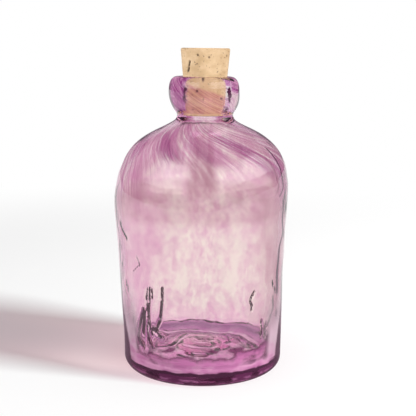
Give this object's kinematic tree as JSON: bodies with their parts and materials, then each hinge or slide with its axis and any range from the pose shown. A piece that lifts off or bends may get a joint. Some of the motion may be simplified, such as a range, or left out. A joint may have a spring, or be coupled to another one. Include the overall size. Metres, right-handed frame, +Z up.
{
  "type": "corked bottle",
  "caption": "Hand-blown round glass bottle with a soft shoulder, a bulging collar and a tapered cork stopper that lifts out.",
  "frame": {"origin": "centre of the standing ring, on the surface the bottle stands on", "axes": "+Z up along the bottle's axis, through the cork; the bottle is round, so X and Y are free"},
  "size_m": [0.085, 0.085, 0.1575],
  "materials": {
    "glass": "clear glass with pink and violet streaks",
    "cork": "matte natural cork"
  },
  "bodies": {
    "bottle": {"bottle": "glass"},
    "cork": {"cork": "cork"}
  },
  "joints": [
    {"name": "cork_lift", "type": "slide", "parent": "bottle", "child": "cork", "axis": [0, 0, 1], "range_m": [0, 0.05]}
  ]
}
